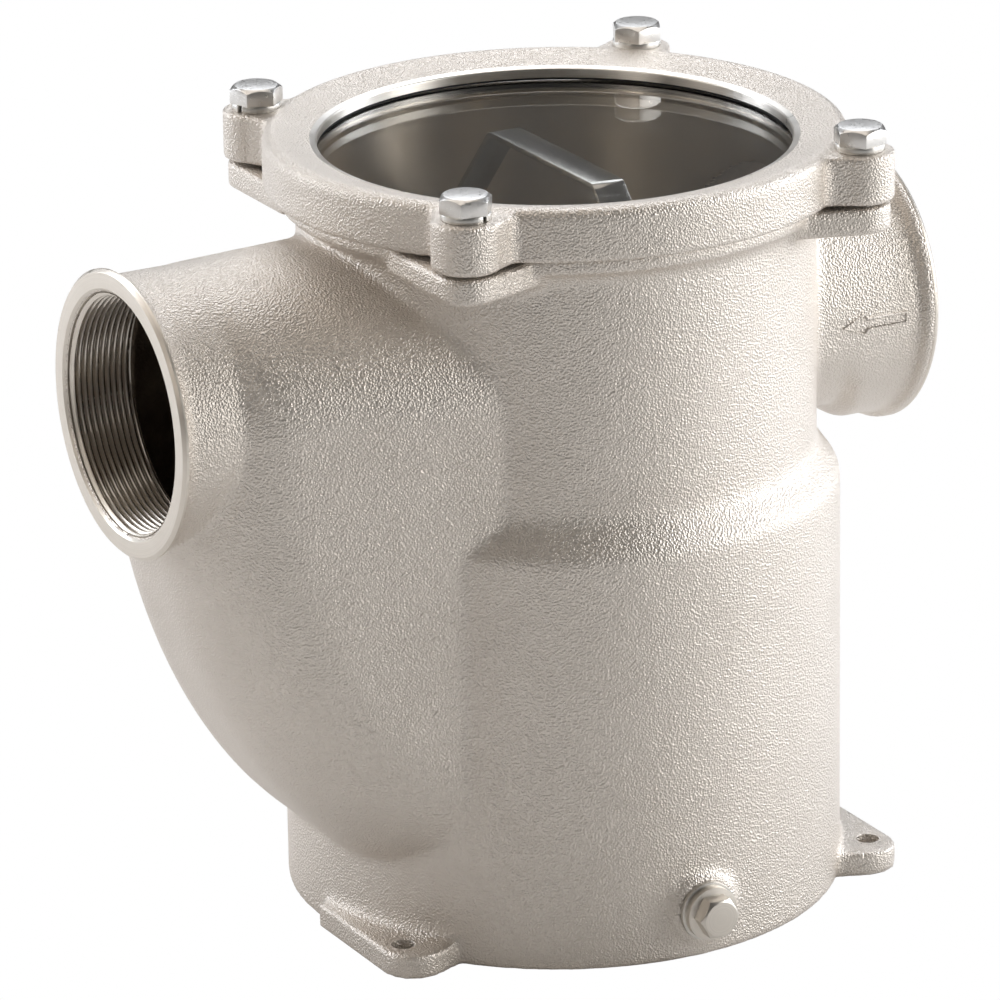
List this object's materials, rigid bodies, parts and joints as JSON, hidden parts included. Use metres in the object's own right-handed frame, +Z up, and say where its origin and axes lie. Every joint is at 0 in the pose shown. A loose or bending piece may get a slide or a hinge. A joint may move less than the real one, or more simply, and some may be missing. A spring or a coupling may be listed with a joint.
{
  "type": "seawater strainer",
  "caption": "Cast metal in-line seawater strainer with threaded ports, a swept outlet duct, a bolted clear cover, a lift-out basket and a drain plug.",
  "frame": {"origin": "on the axis of the basket bore, at the height of the base, which is also the centre of the circle of the foot holes", "axes": "+Z up along the basket bore, +X out of the inlet port, -X out of the outlet port, -Y towards the drain plug"},
  "size_m": [0.3097, 0.242, 0.2954],
  "materials": {
    "cast_metal": "fine sand-cast, nickel plated, with machined port rims and bores",
    "clear_window": "polished clear plastic",
    "seal_rubber": "matt",
    "bolt_steel": "bright stainless steel",
    "washer_steel": "satin stainless steel",
    "plug_metal": "machined, nickel plated",
    "soft_washer": "satin",
    "basket_steel": "satin perforated stainless sheet",
    "handle_steel": "polished stainless strap"
  },
  "bodies": {
    "casting": {"body_casting": "cast_metal", "cover_oring": "seal_rubber"},
    "cover": {"cover_ring": "cast_metal", "window_gasket": "seal_rubber", "sight_window": "clear_window"},
    "basket": {"basket_wall": "basket_steel", "basket_floor": "basket_steel", "basket_top_rim": "basket_steel", "basket_bottom_band": "basket_steel", "basket_seam": "basket_steel", "basket_handle": "handle_steel", "handle_rivets": "handle_steel"},
    "washer_1": {"spring_washer_1": "washer_steel"},
    "washer_2": {"spring_washer_2": "washer_steel"},
    "washer_3": {"spring_washer_3": "washer_steel"},
    "washer_4": {"spring_washer_4": "washer_steel"},
    "bolt_1": {"cover_bolt_1": "bolt_steel"},
    "bolt_2": {"cover_bolt_2": "bolt_steel"},
    "bolt_3": {"cover_bolt_3": "bolt_steel"},
    "bolt_4": {"cover_bolt_4": "bolt_steel"},
    "drain_seal": {"drain_washer": "soft_washer"},
    "plug": {"drain_plug": "plug_metal"}
  },
  "joints": [
    {"name": "cover_lift", "type": "slide", "parent": "casting", "child": "cover", "axis": [0, 0, 1], "range_m": [0, 0.55]},
    {"name": "basket_lift", "type": "slide", "parent": "casting", "child": "basket", "axis": [0, 0, 1], "range_m": [0, 0.275]},
    {"name": "washer_1_rise", "type": "slide", "parent": "cover", "child": "washer_1", "axis": [0, 0, 1], "range_m": [0, 0.0092]},
    {"name": "washer_2_rise", "type": "slide", "parent": "cover", "child": "washer_2", "axis": [0, 0, 1], "range_m": [0, 0.0092]},
    {"name": "washer_3_rise", "type": "slide", "parent": "cover", "child": "washer_3", "axis": [0, 0, 1], "range_m": [0, 0.0092]},
    {"name": "washer_4_rise", "type": "slide", "parent": "cover", "child": "washer_4", "axis": [0, 0, 1], "range_m": [0, 0.0092]},
    {"name": "bolt_1_turn", "type": "hinge", "parent": "washer_1", "child": "bolt_1", "pos_m": [0.08004, 0.08004, 0.2865], "axis": [0, 0, 1], "range_deg": [0, 2160]},
    {"name": "bolt_2_turn", "type": "hinge", "parent": "washer_2", "child": "bolt_2", "pos_m": [-0.08004, 0.08004, 0.2865], "axis": [0, 0, 1], "range_deg": [0, 2160]},
    {"name": "bolt_3_turn", "type": "hinge", "parent": "washer_3", "child": "bolt_3", "pos_m": [-0.08004, -0.08004, 0.2865], "axis": [0, 0, 1], "range_deg": [0, 2160]},
    {"name": "bolt_4_turn", "type": "hinge", "parent": "washer_4", "child": "bolt_4", "pos_m": [0.08004, -0.08004, 0.2865], "axis": [0, 0, 1], "range_deg": [0, 2160]},
    {"name": "drain_seal_slide", "type": "slide", "parent": "casting", "child": "drain_seal", "axis": [0, -1, 0], "range_m": [0, 0.0109]},
    {"name": "drain_plug_turn", "type": "hinge", "parent": "drain_seal", "child": "plug", "pos_m": [0, -0.1055, 0.019], "axis": [0, -1, 0], "range_deg": [0, 2880]}
  ],
  "couplings": [
    {"joint": "basket_lift", "follows": "cover_lift", "ratio": 0.5},
    {"joint": "washer_1_rise", "follows": "bolt_1_turn", "m_per_rad": 0.00023873},
    {"joint": "washer_2_rise", "follows": "bolt_2_turn", "m_per_rad": 0.00023873},
    {"joint": "washer_3_rise", "follows": "bolt_3_turn", "m_per_rad": 0.00023873},
    {"joint": "washer_4_rise", "follows": "bolt_4_turn", "m_per_rad": 0.00023873},
    {"joint": "drain_seal_slide", "follows": "drain_plug_turn", "m_per_rad": 0.00021279}
  ]
}
